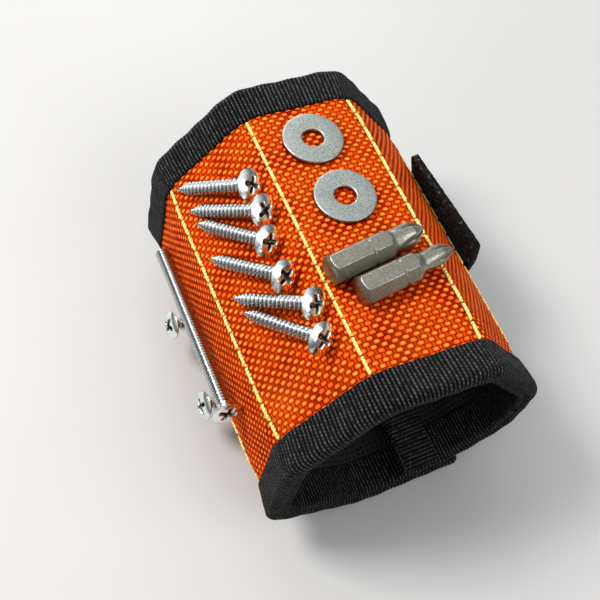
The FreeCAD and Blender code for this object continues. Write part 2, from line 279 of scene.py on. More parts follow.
def mesh_from(name, points, quads, caps=(), uv=None):
    """A smooth mesh from points in millimetres. caps are faces of many corners."""
    mesh = bpy.data.meshes.new(name)
    mesh.vertices.add(len(points))
    mesh.vertices.foreach_set("co", np.multiply(points, MM).astype(np.float32).ravel())
    corners = np.concatenate([np.ravel(quads), *caps]).astype(np.int32)
    sizes = np.array([4] * len(quads) + [len(c) for c in caps])
    mesh.loops.add(len(corners))
    mesh.loops.foreach_set("vertex_index", corners)
    mesh.polygons.add(len(sizes))
    mesh.polygons.foreach_set("loop_start", np.concatenate([[0], np.cumsum(sizes)[:-1]]).astype(np.int32))
    mesh.update(calc_edges=True)
    if uv is not None:
        layer = mesh.uv_layers.new(name="cloth")
        layer.data.foreach_set("uv", uv[corners].astype(np.float32).ravel())
    mesh.shade_smooth()
    mesh.validate()
    return mesh


def skin(name, rings, material, uv=None, capped=True, reverse=False):
    """Joins closed rings of points into a tube. capped closes its ends, reverse turns it inside out."""
    if reverse:
        rings = rings[:, ::-1]
        uv = None if uv is None else uv[:, ::-1]
    count, size = rings.shape[:2]
    index = np.arange(count * size).reshape(count, size)
    a, b = index[:-1], index[1:]
    quads = np.stack([a, b, np.roll(b, -1, axis=1), np.roll(a, -1, axis=1)], axis=-1).reshape(-1, 4)
    caps = (index[0], index[-1][::-1]) if capped else ()
    flat_uv = None if uv is None else uv.reshape(-1, 2)
    mesh = mesh_from(name, rings.reshape(-1, 3), quads, caps, flat_uv)
    return new_object(name, mesh, material)


def map_of(s, q):
    """The uv map of rings at every s, of points at every q."""
    return np.stack(np.broadcast_arrays(s[:, None], q), axis=-1)


def join(name, parts):
    """Makes one piece of several objects."""
    with bpy.context.temp_override(active_object=parts[0], selected_editable_objects=parts):
        bpy.ops.object.join()
    parts[0].name = name
    return parts[0]


def smoothstep(low, high, x):
    t = np.clip((x - low) / (high - low), 0, 1)
    return t * t * (3 - 2 * t)


def softness(y):
    """How far the band's folds are rounded: most at its edges, where the tape is thick."""
    return SOFT_MIDDLE + (SOFT_EDGE - SOFT_MIDDLE) * edge_share(y)


def edge_share(y):
    """0 in the middle of the band and 1 at its bindings."""
    return smoothstep(OPEN_HALF - EDGE_WIDTH, OPEN_HALF, np.abs(y))


def bend_over(piece):
    """Bakes a piece's placement into its mesh, and leaves it attached to no body."""
    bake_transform(piece)


def nodes_for(bases, bodies):
    """CAD nodes of some bodies, by their kind: {"pocket": "cover"} gives cover_2 for pocket_2."""
    names = [f"{bases.get(kind)}_{ending}" for kind, ending in (body.split("_") for body in bodies)]
    return [name for name in names if name in frame["nodes"]]


def take_place(piece, node):
    """Lets a piece stand for one CAD node, on the same body."""
    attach(piece, frame["nodes"][node]["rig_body"])
    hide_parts(node)


def hinge_crossed(path, low, high):
    """Number of the facet that starts at the hinge which a piece crosses or ends at, or None."""
    outside = [max(low - s, s - high) for s in path.s[1:-1]]
    nearest = int(np.argmin(outside))
    return nearest + 1 if outside[nearest] < 0.01 else None


def lay_along(path, name, low, high, build, bases):
    """Draws a layer from low to high as pieces cut in the middle of each facet.

    build(name, low, high) makes one piece, and bases says which CAD nodes it replaces, as in nodes_for().
    """
    cuts = [low, *[middle for middle in path.middles if low < middle < high], high]
    for a, b in zip(cuts, cuts[1:]):
        k = hinge_crossed(path, a, b)
        bodies = path.bodies[k - 1 : k + 1] if k else (path.bodies[path.facet((a + b) / 2)],)
        piece = build(f"{name}_{'_to_'.join(bodies)}", a, b)
        if k:
            bend_over(piece)
        else:
            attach(piece, bodies[0])
        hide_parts(*nodes_for(bases, bodies))


# ---- Cloth relief ----


def weave_height(s, y):
    """Height of the cover's weave, from 0 to 1: long floats along s, with short ones across between."""
    row = np.floor(y / WEAVE)
    across = 2 * (y / WEAVE - row) - 1
    phase = (s / WEAVE_REPEAT + 0.5 * (row % 2)) % 1
    over = phase / FLOAT_SHARE
    under = (phase - FLOAT_SHARE) / (1 - FLOAT_SHARE)
    weft = np.clip(np.sin(np.pi * np.clip(over, 0, 1)), 0, 1) ** 0.4 * np.sqrt(1 - 0.9 * across**4)
    warp = 0.5 * np.clip(np.sin(np.pi * np.clip(under, 0, 1)), 0, 1) ** 0.7 * (1 - 0.25 * across**2)
    return np.where(phase < FLOAT_SHARE, weft, warp)


def tape_height(s, q):
    """Height of ribbed tape, from 0 to 1: ribs across its length, each a row of knuckles."""
    rib = s / TAPE_RIB
    line = np.floor(rib)
    crown = np.sqrt(np.clip(1 - (2 * (rib - line) - 1) ** 2, 0, 1))
    knuckle = np.sin(np.pi * ((q / TAPE_KNUCKLE + 0.5 * (line % 2)) % 1))
    return crown * (0.7 + 0.3 * knuckle)


CLOTH_SCALE = 0.01  # simulation units to the millimetre
CLOTH_STEP = 1.6
CLOTH_JITTER = 0.0006
CLOTH_APART = 0.2
CLOTH_FRAMES = 20


def pinned(i, j, across, down):
    """True where a pocket's cloth is held: at its ends, and on its seams near needle holes."""
    if j in (0, down - 1):
        return True
    along = (j * CLOTH_STEP) % STITCH_PITCH
    return i in (0, across - 1) and min(along, STITCH_PITCH - along) < CLOTH_STEP


def cloth_patches(widths, length):
    """Flat patches of cloth in a row, in simulation units: (bmesh, their grid sizes, held points)."""
    mesh = bmesh.new()
    rng = np.random.default_rng(SEED)
    layout, held = [], []
    left = 0.0
    for width in widths:
        across, down = int(width / CLOTH_STEP) + 1, int(length / CLOTH_STEP) + 1

        def corner(i, j):
            if pinned(i, j, across, down):
                held.append(len(mesh.verts))
            x = left + CLOTH_SCALE * width * i / (across - 1)
            y = CLOTH_SCALE * length * j / (down - 1)
            return mesh.verts.new((x, y, CLOTH_JITTER * rng.standard_normal()))

        grid = [[corner(i, j) for j in range(down)] for i in range(across)]
        for i in range(across - 1):
            for j in range(down - 1):
                mesh.faces.new((grid[i][j], grid[i + 1][j], grid[i + 1][j + 1], grid[i][j + 1]))
        layout.append((across, down))
        left += CLOTH_SCALE * width + CLOTH_APART
    return mesh, layout, held


def slacken(cloth):
    """Makes an object the cloth of a padded pocket, slack and under light pressure."""
    settings = cloth.modifiers.new("cloth", "CLOTH").settings
    settings.quality = 6
    settings.mass = 0.15
    settings.tension_stiffness = 40
    settings.compression_stiffness = 40
    settings.shear_stiffness = 15
    settings.bending_stiffness = 0.6
    settings.vertex_group_mass = "held"
    settings.use_pressure = True
    settings.uniform_pressure_force = 4
    settings.shrink_min = -0.012
    settings.effector_weights.gravity = 0


def simulate_swell(widths):
    """Heights in millimetres of each pocket's cover, from a cloth simulation."""
    mesh, layout, held = cloth_patches(widths, 2 * OPEN_HALF)
    data = bpy.data.meshes.new("cloth_trial")
    mesh.to_mesh(data)
    mesh.free()
    cloth = bpy.data.objects.new("cloth_trial", data)
    bpy.context.scene.collection.objects.link(cloth)
    cloth.vertex_groups.new(name="held").add(held, 1.0, "REPLACE")
    slacken(cloth)

    scene = bpy.context.scene
    for step in range(1, CLOTH_FRAMES + 1):
        scene.frame_set(step)
    settled = cloth.evaluated_get(bpy.context.evaluated_depsgraph_get()).to_mesh()
    height = np.array([v.co.z for v in settled.vertices]) / CLOTH_SCALE
    bpy.data.objects.remove(cloth)
    scene.frame_set(1)

    ends = np.cumsum([across * down for across, down in layout])
    fields = [part.reshape(grid) for part, grid in zip(np.split(height, ends[:-1]), layout)]
    return [np.clip(field * SWELL / np.percentile(field, 97), -0.3, SWELL) for field in fields]


def sample(field, across, down):
    """Bilinear lookup in a grid of heights, at shares 0 to 1 of its two sides."""
    a = np.clip(across, 0, 1) * (field.shape[0] - 1)
    b = np.clip(down, 0, 1) * (field.shape[1] - 1)
    i = np.minimum(a.astype(int), field.shape[0] - 2)
    j = np.minimum(b.astype(int), field.shape[1] - 2)
    fa, fb = a - i, b - j
    near = field[i, j] * (1 - fb) + field[i, j + 1] * fb
    far = field[i + 1, j] * (1 - fb) + field[i + 1, j + 1] * fb
    return near * (1 - fa) + far * fa


swell_fields = simulate_swell(band.width[-len(POCKETS) :])


def swell(s, y):
    """How far each point of the cover stands up over its pocket's magnets."""
    s, y = np.broadcast_arrays(s, y)
    total = np.zeros(s.shape)
    down = (y + OPEN_HALF) / (2 * OPEN_HALF)
    for body, field in zip(POCKETS, swell_fields):
        low, high = band.start_of(body), band.end_of(body)
        inside = (s >= low) & (s < high)
        total[inside] = sample(field, (s[inside] - low) / (high - low), down[inside])
    return total


def needle_dent(s, y):
    """0 to 1: where the thread pulls the cloth down, most of all at the needle holes."""
    seam = np.exp(-((band.from_hinge(s) / SEAM_WIDTH) ** 2))
    along = (y / STITCH_PITCH) % 1
    hole = np.exp(-((np.minimum(along, 1 - along) * STITCH_PITCH / HOLE_WIDTH) ** 2))
    return seam * (0.45 + 0.55 * hole)


# ---- Materials ----


class Nodes:
    """A node tree, with short ways to add to it."""

    def __init__(self, tree):
        self.tree = tree

    def node(self, kind, inputs=None, **settings):
        made = self.tree.nodes.new(kind)
        for key, value in settings.items():
            setattr(made, key, value)
        for key, value in (inputs or {}).items():
            self.feed(made.inputs[key], value)
        return made

    def feed(self, socket, value):
        if isinstance(value, bpy.types.NodeSocket):
            self.tree.links.new(value, socket)
        else:
            socket.default_value = value

    def math(self, operation, *values):
        return self.node("ShaderNodeMath", dict(enumerate(values)), operation=operation).outputs[0]

    def times(self, first, second):
        return self.math("MULTIPLY", first, second)

    def point(self, x, y):
        """A place in a flat texture."""
        return self.node("ShaderNodeCombineXYZ", {"X": x, "Y": y}).outputs[0]

    def parts(self, vector):
        """The x, y and z of a vector."""
        return self.node("ShaderNodeSeparateXYZ", {"Vector": vector}).outputs

    def remap(self, value, low, high, new_low=0.0, new_high=1.0):
        inputs = {"Value": value, "From Min": low, "From Max": high, "To Min": new_low, "To Max": new_high}
        return self.node("ShaderNodeMapRange", inputs, interpolation_type="SMOOTHSTEP").outputs["Result"]


class Shader(Nodes):
    """The node tree of a new material."""

    def __init__(self, name):
        self.material = bpy.data.materials.new(name)
        self.material.use_nodes = True
        super().__init__(self.material.node_tree)
        self.surface = self.tree.nodes["Principled BSDF"]

    def cloth_place(self):
        """The two coordinates of a surface's map: s and y or q on cloth, x and groove on metal."""
        place = self.parts(self.node("ShaderNodeUVMap", uv_map="cloth").outputs[0])
        return place[0], place[1]

    def noise(self, scale, detail=3.0, roughness=0.5, vector=None):
        """Noise at a scale in 1 / mm where a place is given, and in 1 / m where none is."""
        place = self.node("ShaderNodeTexCoord").outputs["Object"] if vector is None else vector
        inputs = {"Vector": place, "Scale": scale, "Detail": detail, "Roughness": roughness}
        return self.node("ShaderNodeTexNoise", inputs).outputs["Fac"]

    def dots(self, vector, scale, randomness):
        """Distance from the nearest of a field of dots."""
        inputs = {"Vector": vector, "Scale": scale, "Randomness": randomness}
        return self.node("ShaderNodeTexVoronoi", inputs).outputs["Distance"]

    def mix(self, share, first, second):
        return self.node("ShaderNodeMix", {0: share, 6: first, 7: second}, data_type="RGBA").outputs[2]

    def bump(self, height, distance, strength, normal=None):
        """Relief as deep as distance, in millimetres, over another relief where normal is given."""
        inputs = {"Height": height, "Distance": distance * MM, "Strength": strength}
        inputs |= {} if normal is None else {"Normal": normal}
        return self.node("ShaderNodeBump", inputs).outputs["Normal"]

    def finish(self, **inputs):
        for key, value in inputs.items():
            self.feed(self.surface.inputs[key.replace("_", " ")], value)
        return self.material


def rgb(red, green, blue):
    return (red, green, blue, 1.0)


def grey(shade):
    return rgb(shade, shade, shade)


def cell_shade(shader, column, row):
    """A random number from 0 to 1 for each cell of a weave."""
    place = shader.point(shader.math("FLOOR", column), row)
    return shader.node("ShaderNodeTexWhiteNoise", {"Vector": place}).outputs["Value"]


def shifted_rows(shader, row, column):
    """column, moved half a step in every second row."""
    half = shader.times(shader.math("FLOORED_MODULO", row, 2.0), 0.5)
    return shader.math("ADD", column, half)


def weave_nodes(shader, s, y):
    """(float height, crossing height, random number of each float), close to what weave_height() gives."""
    line = shader.math("DIVIDE", y, WEAVE)
    row = shader.math("FLOOR", line)
    across = shader.math("MULTIPLY_ADD", shader.math("SUBTRACT", line, row), 2.0, -1.0)
    rounded = shader.math("SUBTRACT", 1.0, shader.math("POWER", shader.math("ABSOLUTE", across), 3.0))
    column = shifted_rows(shader, row, shader.math("DIVIDE", s, WEAVE_REPEAT))
    phase = shader.math("FRACT", column)
    over = shader.math("MINIMUM", shader.math("DIVIDE", phase, FLOAT_SHARE), 1.0)
    crown = shader.math("POWER", shader.math("SINE", shader.times(over, math.pi)), 0.5)
    past = shader.math("MULTIPLY_ADD", phase, 1 / (1 - FLOAT_SHARE), -FLOAT_SHARE / (1 - FLOAT_SHARE))
    under = shader.math("MAXIMUM", past, 0.0)
    warp = shader.times(shader.math("SINE", shader.times(under, math.pi)), 0.5)
    return shader.times(crown, rounded), warp, cell_shade(shader, column, row)


def float_highlight(shader, weft, chance, yarns, filaments):
    """How much painted highlight a float shows on its crown: more on some floats than on others, and in
    streaks.
    """
    brightness = shader.math("MULTIPLY_ADD", chance, 0.7, shader.times(yarns, 0.6))
    streaks = shader.math("MULTIPLY_ADD", filaments, 0.9, brightness)
    return shader.times(shader.remap(weft, 0.70, 0.96), shader.remap(streaks, 0.6, 1.3, 0.1, 1.0))


def orange_nylon():
    shader = Shader("orange_nylon")
    s, y = shader.cloth_place()
    weft, warp, chance = weave_nodes(shader, s, y)
    stretched = shader.point(s, shader.times(y, 0.3))
    filaments = shader.noise(7.0, 2.0, 0.6, stretched)
    core = float_highlight(shader, weft, chance, shader.noise(3.2, 4.0, 0.6, stretched), filaments)
    # Broad soft patches of painted light and shade on the crossing yarns.
    light_patches = shader.noise(0.11, 2.0, 0.5, shader.point(s, y))
    lit = shader.remap(light_patches, 0.35, 0.62)
    crossing = shader.mix(lit, rgb(0.24, 0.017, 0.0004), rgb(0.60, 0.072, 0.002))
    # The dark red in the gaps between the yarns is painted shade.
    ground = shader.mix(shader.remap(warp, 0.08, 0.35), rgb(0.15, 0.007, 0.0002), crossing)
    yarn = shader.mix(shader.remap(weft, 0.12, 0.55), ground, rgb(0.76, 0.086, 0.0014))
    # The pale orange mixed in here is a painted highlight.
    highlighted = shader.mix(core, yarn, rgb(1.0, 0.31, 0.045))
    rubbed = shader.remap(shader.noise(55.0, 4.0), 0.55, 0.8, 0.0, 0.16)
    colour = shader.mix(rubbed, highlighted, rgb(0.75, 0.20, 0.04))
    relief = shader.bump(shader.math("MAXIMUM", weft, warp), 0.45, 1.0)
    fibre = shader.bump(filaments, 0.06, 0.8, relief)
    rough = shader.remap(filaments, 0.2, 0.8, 0.38, 0.6)
    return shader.finish(Base_Color=colour, Roughness=rough, Normal=fibre, IOR=1.1)


def black_tape():
    shader = Shader("black_tape")
    s, q = shader.cloth_place()
    line = shader.math("DIVIDE", s, TAPE_RIB)
    row = shader.math("FLOOR", line)
    rib = shader.math("SINE", shader.times(shader.math("SUBTRACT", line, row), math.pi))
    column = shifted_rows(shader, row, shader.math("DIVIDE", q, TAPE_KNUCKLE))
    knuckle = shader.math("SINE", shader.times(shader.math("FRACT", column), math.pi))
    height = shader.times(rib, shader.math("MULTIPLY_ADD", knuckle, 0.35, 0.65))
    # Painted highlight on the tops of the knuckles, and painted shade nearly black in the gaps between them.
    knuckle_highlight = shader.mix(cell_shade(shader, column, row), grey(0.023), grey(0.085))
    ribbed = shader.mix(shader.remap(height, 0.4, 1.0), grey(0.003), knuckle_highlight)
    lint = shader.remap(shader.noise(420.0, 2.0), 0.66, 0.8, 0.0, 0.35)
    colour = shader.mix(lint, ribbed, grey(0.12))
    relief = shader.bump(height, 0.35, 0.9)
    fibres = shader.noise(9.0, 3.0, 0.6, shader.point(s, shader.times(q, 0.4)))
    fibre = shader.bump(fibres, 0.06, 0.7, relief)
    return shader.finish(Base_Color=colour, Roughness=0.5, Normal=fibre, IOR=1.2)


def knit_lining():
    shader = Shader("knit_lining")
    knit = shader.remap(shader.dots(shader.point(*shader.cloth_place()), 0.75, 0.15), 0.12, 0.34)
    # Darker in the hollows of the knit, as painted shade.
    colour = shader.mix(knit, grey(0.004), rgb(0.03, 0.03, 0.032))
    relief = shader.bump(knit, 0.25, 0.9)
    return shader.finish(Base_Color=colour, Roughness=0.7, Normal=relief, IOR=1.2)


def loop_pile():
    shader = Shader("loop_pile")
    fluff = shader.noise(900.0, 4.0, 0.7)
    colour = shader.mix(shader.remap(fluff, 0.35, 0.7), grey(0.005), rgb(0.05, 0.05, 0.052))
    relief = shader.bump(fluff, 0.5, 0.9)
    return shader.finish(Base_Color=colour, Roughness=0.85, Normal=relief, IOR=1.2)


def webbing():
    shader = Shader("webbing")
    s, q = shader.cloth_place()
    weft, warp = weave_nodes(shader, q, s)[:2]
    height = shader.math("MAXIMUM", weft, warp)
    fluff = shader.noise(1100.0, 3.0, 0.7)
    # Darker between the yarns, as painted shade.
    woven = shader.mix(shader.remap(height, 0.2, 0.9), grey(0.003), rgb(0.03, 0.03, 0.031))
    # The pale grey flecks are painted glints on the webbing's loose fibres.
    colour = shader.mix(shader.remap(fluff, 0.56, 0.7, 0.0, 0.8), woven, rgb(0.22, 0.22, 0.225))
    relief = shader.bump(height, 0.2, 0.7)
    fibre = shader.bump(fluff, 0.15, 0.8, relief)
    return shader.finish(Base_Color=colour, Roughness=0.6, Normal=fibre, IOR=1.25)


def hook_tape():
    shader = Shader("hook_tape")
    hooks = shader.remap(shader.dots(shader.point(*shader.cloth_place()), 0.9, 0.1), 0.45, 0.1)
    relief = shader.bump(hooks, 0.6, 1.0)
    return shader.finish(Base_Color=grey(0.012), Roughness=0.4, Normal=relief)


def yellow_thread():
    """Plies that twist round the thread: s runs along it here, and q is the angle round it."""
    shader = Shader("yellow_thread")
    s, q = shader.cloth_place()
    twist = shader.math("SINE", shader.math("ADD", shader.times(s, 7.0), shader.times(q, 2.0)))
    # Darker in the grooves between the plies, as painted shade.
    colour = shader.mix(shader.remap(twist, -1.0, 0.1), rgb(0.66, 0.46, 0.07), rgb(1.0, 0.86, 0.30))
    relief = shader.bump(twist, 0.09, 0.9)
    return shader.finish(Base_Color=colour, Roughness=0.45, Normal=relief, Sheen_Weight=0.2)


def metal(name, tint, dark, rough, grain=900.0, wear=0.25, speckle=0.0):
    """Plated or bare steel: fine grain, faint stains and a dull speckle, with painted shade in grooves,
    recesses and hollows.
    """
    shader = Shader(name)
    groove = shader.cloth_place()[1]
    stains = shader.noise(240.0, 5.0, 0.6)
    fine = shader.noise(grain, 2.0, 0.5)
    corners = shader.node("ShaderNodeNewGeometry").outputs["Pointiness"]
    stained = shader.mix(shader.remap(stains, 0.35, 0.7, 0.0, wear), rgb(*tint), rgb(*dark))
    speckled = shader.mix(shader.remap(fine, 0.38, 0.62, 0.0, speckle), stained, rgb(*dark))
    # Painted shade where the surface curves inwards, found from the mesh's pointiness.
    hollow_shaded = shader.mix(shader.remap(corners, 0.49, 0.40, 0.0, 0.6), speckled, grey(0.05))
    # Painted shade, as dark as groove says: in thread roots, flutes and cross recesses.
    colour = shader.mix(shader.remap(groove, 0.05, 0.42, 0.0, 0.8), hollow_shaded, rgb(0.03, 0.032, 0.03))
    patchy = shader.remap(stains, 0.3, 0.7, rough * 0.75, rough * 1.25)
    roughness = shader.math("ADD", patchy, shader.remap(fine, 0.3, 0.7, -0.04, 0.04))
    relief = shader.bump(fine, 0.03, 0.5)
    return shader.finish(Base_Color=colour, Metallic=1.0, Roughness=roughness, Normal=relief)


ORANGE = orange_nylon()
TAPE = black_tape()
LINING = knit_lining()
PILE = loop_pile()
WEBBING = webbing()
HOOK = hook_tape()
THREAD = yellow_thread()
# Painted shade: the dark inside the needle holes.
HOLE_SHADE = Shader("needle_hole_shade").finish(Base_Color=rgb(0.012, 0.004, 0.001), Roughness=0.9)
BRIGHT_ZINC = metal("bright_zinc", (0.90, 0.93, 0.91), (0.52, 0.57, 0.52), 0.18)
SATIN_ZINC = metal("satin_zinc", (0.53, 0.57, 0.53), (0.22, 0.24, 0.22), 0.42, 3300.0, 0.3, 0.75)
BIT_STEEL = metal("bit_steel", (0.40, 0.385, 0.33), (0.17, 0.17, 0.14), 0.40, 2400.0, 0.4, 0.5)

# ---- Band ----


def slab(name, low, high, spacing, upper, lower, material):
    """A layer between the bindings, from the heights of its two sides as functions of s and y.

    The lower side is hidden, so it is coarsely divided.
    """
    s = spread(low, high, spacing)
    upper_y = spread(-OPEN_HALF - TUCK, OPEN_HALF + TUCK, spacing)
    lower_y = -spread(-OPEN_HALF - TUCK, OPEN_HALF + TUCK, HIDDEN)
    y = np.concatenate([upper_y, lower_y])
    v = np.concatenate([upper(s[:, None], upper_y), lower(s[:, None], lower_y)], axis=1)
    raised = v + band.fill(s)[:, None] * edge_share(y)
    rings = in_space(band.at(s[:, None], raised, softness(y)), y)
    return skin(name, rings, material, map_of(s, y))


def cover_top(s, y):
    relief = WEAVE_HEIGHT * (weave_height(s, y) - 0.5)
    return COVER_V + COVER_LIFT + swell(s, y) - SEAM_PULL * needle_dent(s, y) + relief


def cover_bottom(s, y):
    return COVER_V - COVER_THICK + swell(s, y)


def cover_piece(name, low, high):
    return slab(name, low, high, FINE, cover_top, cover_bottom, ORANGE)


def pile_piece(name, low, high):
    rng = np.random.default_rng(SEED + int(low))

    def fluff(s, y):
        loops = PILE_FLUFF * rng.random(np.broadcast_shapes(s.shape, y.shape))
        loops[[0, -1]] = PILE_FLUFF / 2
        return COVER_V - 0.1 + loops

    return slab(name, low, high, COARSE, fluff, lambda s, y: PILE_BOTTOM + 0 * (s + y), PILE)


def sag(s, y):
    """0 at the seams and 1 over the middle of a pocket."""
    from_seam = 1 - np.exp(-((band.from_hinge(s) / SAG_REACH) ** 2))
    return from_seam * smoothstep(-TUCK, 2.6, OPEN_HALF - np.abs(y))


def lining_inside(s, y):
    return LINING_BOTTOM - LINING_SAG * sag(s, y)


def lining_outside(s, y):
    return LINING_TOP - LINING_SAG * sag(s, y)


def lining_piece(name, low, high):
    """The side against the wrist is the finely divided one, so the slab is made inside out and turned."""
    piece = slab(name, low, high, COARSE, lining_inside, lining_outside, LINING)
    piece.data.flip_normals()
    return piece


def arc(centre, radius, first, last, count):
    angles = np.radians(np.linspace(first, last, count))
    return np.add(centre, radius * np.stack([np.cos(angles), np.sin(angles)], axis=1))


def even_steps(outline, spacing):
    """A polyline drawn again in even steps: (points, distance along, normal towards the inside)."""
    legs = np.hypot(*np.diff(outline, axis=0).T)
    reach = np.concatenate([[0], np.cumsum(legs)])
    q = spread(0, reach[-1], spacing)
    points = np.stack([np.interp(q, reach, outline[:, k]) for k in (0, 1)], axis=1)
    tangent = np.gradient(points, axis=0)
    tangent /= np.linalg.norm(tangent, axis=1)[:, None]
    return points, q, np.stack([-tangent[:, 1], tangent[:, 0]], axis=1)


def tape_section():
    """(distance in from the edge, v) round the folded tape, starting at its inner edge on the cover.

    It lies on the cover, rises to a thick roll at the band's edge and folds under in a thinner lip.
    """
    inner = BINDING_DEPTH
    upper = arc((inner - 0.7, -0.25), 0.7, 0, 80, 5)
    crown = [(6.8, 0.68), (4.6, 1.0)]
    roll = arc((2.1, -0.85), 2.05, 75, 230, 16)
    crease = [(1.65, -2.2)]
    lip = arc((1.75, -3.15), 1.25, 125, 270, 12)
    lower = arc((inner - 0.5, -3.85), 0.5, 270, 350, 5)
    return np.concatenate([[(inner, -0.7)], upper, crown, roll, crease, lip, lower, [(inner + 0.1, -3.2)]])


def tape_rings(s, proud=0.0):
    """(distance in from the edge, v, q) for every s, with the tape's ribs raised."""
    points, q, normal = even_steps(tape_section(), TAPE_ROUND_STEP)
    raised = TAPE_HEIGHT * (tape_height(s[:, None], q) - 0.5)
    puckers = TAPE_PUCKER * np.sin(s * 0.9)[:, None] * np.sin(q * 0.5)
    shifted = points - (raised + puckers + proud)[..., None] * normal
    return shifted[..., 0], shifted[..., 1], q


def binding_piece(side, name, low, high):
    """The tape over one long edge: side is -1 at the near one and 1 at the far one."""
    s = spread(low, high, TAPE_STEP)
    inwards, v, q = tape_rings(s)
    xz = band.at(s[:, None], v + band.fill(s)[:, None], SOFT_EDGE)
    rings = in_space(xz, side * (BAND_HALF - inwards))
    return skin(name, rings, TAPE, map_of(s, q), reverse=side > 0)


def end_binding(name, node, at_start):
    """The folded tape across one end of the band."""
    y = spread(-BAND_HALF + 0.5, BAND_HALF - 0.5, TAPE_STEP)
    inwards, v, q = tape_rings(y, END_PROUD)
    k = 0 if at_start else len(band.bodies) - 1
    u = inwards if at_start else band.width[k] - inwards
    xz = band.knots[k] + u[..., None] * band.along[k] + (v + END_LIFT)[..., None] * band.out[k]
    piece = skin(name, in_space(xz, y[:, None]), TAPE, map_of(y, q), reverse=at_start)
    take_place(piece, node)


def make_band():
    seam, length = band.start_of("pocket_1"), band.s[-1]
    low = BINDING_DEPTH - BINDING_COVERS
    high = length - low
    lay_along(band, "cover", seam, high, cover_piece, {"pocket": "cover"})
    lay_along(band, "loop_field", low, seam, pile_piece, {"underlap": "loop_pile"})
    inside = {"pocket": "lining", "underlap": "underlap_backing"}
    lay_along(band, "lining", low, high, lining_piece, inside)
    low, high = CORNER_INSET, length - CORNER_INSET
    edges = {"pocket": "binding", "underlap": "underlap_binding"}
    lay_along(band, "near_binding", low, high, partial(binding_piece, -1), edges)
    lay_along(band, "far_binding", low, high, partial(binding_piece, 1), edges)
    end_binding("end_binding_underlap", "underlap_binding_3", at_start=True)
    end_binding("end_binding_pocket_6", "binding_6", at_start=False)


# ---- Stitches ----


def thread_rings(points, radius):
    """Rings of a thread along a line of points whose direction is close to +Y."""
    angles = ring_angles(10)
    x = points[:, 0:1] + radius[:, None] * np.cos(angles)
    z = points[:, 2:3] + radius[:, None] * np.sin(angles)
    return in_space(np.stack([x, z], axis=-1), points[:, 1:2]), angles[0]


def stitch(name, k, start):
    """One stitch along a hinge line, which dives into the cloth at both ends."""
    y_low, y_high = start + STITCH_GAP, start + STITCH_PITCH - STITCH_GAP
    share = np.linspace(-1, 1, 17)
    dive = np.abs(share) ** 12
    y = (y_low + y_high) / 2 + share * (y_high - y_low) / 2
    v = COVER_V + STITCH_LIFT - STITCH_DIVE * dive + band.fill(band.s[k]) * edge_share(y)
    radius = STITCH_RADIUS * (1 - 0.3 * dive) * (1 + 0.05 * np.sin(9 * share))
    points = in_space(band.at(band.s[k], v, softness(y)), y)
    rings, angles = thread_rings(points, radius)
    return skin(name, rings, THREAD, map_of(y, angles), reverse=True)


def needle_hole_shades(name, k, places):
    """Small dark dimples of painted shade where the thread goes through, in one mesh."""
    mesh = bmesh.new()
    for y in places:
        height = COVER_V - 0.05 + band.fill(band.s[k]) * edge_share(y)
        centre = band.at(band.s[k], height, softness(y))
        place = Matrix.Translation((centre[0] * MM, y * MM, centre[1] * MM))
        bmesh.ops.create_icosphere(mesh, subdivisions=2, radius=HOLE_RADIUS * MM, matrix=place)
    data = bpy.data.meshes.new(name)
    mesh.to_mesh(data)
    mesh.free()
    data.shade_smooth()
    return new_object(name, data, HOLE_SHADE)


def make_stitch_rows():
    count = round(2 * OPEN_HALF / STITCH_PITCH)
    first = -count * STITCH_PITCH / 2
    starts = [first + n * STITCH_PITCH for n in range(count)]
    for number, body in enumerate(POCKETS, 1):
        node = f"stitch_row_{number}"
        k = band.bodies.index(body)
        stitches = [stitch(f"{node}_stitch_{n}", k, start) for n, start in enumerate(starts)]
        row = join(f"{node}_thread", stitches)
        holes = needle_hole_shades(f"{node}_holes", k, starts + [first + count * STITCH_PITCH])
        for piece in (row, holes):
            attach(piece, frame["nodes"][node]["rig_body"])
        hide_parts(node)


# ---- Tab ----

TAB_LOW, TAB_HIGH = corners("tab_webbing_base")[:, 1]
TAB_THICK = 1.7
TAB_CORNER = 1.2
TAB_FUZZ = 0.14
TAB_SOFT = 2.0
TIP_TWIST = 1.2  # the near corner of the tip stands off this much more than its middle
HOOK_THICK = 1.0
HOOK_INSET = 1.5


def tab_narrowing(s):
    """How far each side of the tab is cut in, round the corners of its tip."""
    left = np.clip(TAB_CORNER - (tab.s[-1] - s), 0, TAB_CORNER)
    return TAB_CORNER - np.sqrt(TAB_CORNER**2 - left**2)


def strip_profile(half_width, thick):
    """(y, v) round a flat strip with rounded sides, from the near end of its upper face."""
    radius = thick / 2
    flat = spread(-1, 1, TAB_STEP / 14) * (half_width - radius)
    turn = np.radians(spread(90, -90, 22))[1:-1]
    side = half_width - radius + radius * np.cos(turn)
    y = np.concatenate([flat, side, -flat, -side])
    level = np.full(len(flat), radius)
    v = np.concatenate([level, radius * np.sin(turn), -level, -radius * np.sin(turn)])
    return y, v


def tab_ring(s, thick, top, inset, fuzz):
    """(y, v, q) round the tab for every s: narrower at the corners of its tip, which also twists."""
    y_low, y_high = TAB_LOW + inset, TAB_HIGH - inset
    middle, half = (y_low + y_high) / 2, (y_high - y_low) / 2
    profile_y, profile_v = strip_profile(half, thick)
    shrink = 1 - tab_narrowing(s) / half
    y = middle + profile_y * shrink[:, None]
    rng = np.random.default_rng(SEED)
    v = top - thick / 2 + profile_v + fuzz * (rng.random(y.shape) - 0.5)
    lift = smoothstep(tab.start_of("tab_mid") + 6, tab.s[-1], s)
    v = v + TIP_TWIST * lift[:, None] * (middle - y) / half
    q = np.concatenate([[0], np.cumsum(np.hypot(np.diff(profile_y), np.diff(profile_v)))])
    return y, v, q


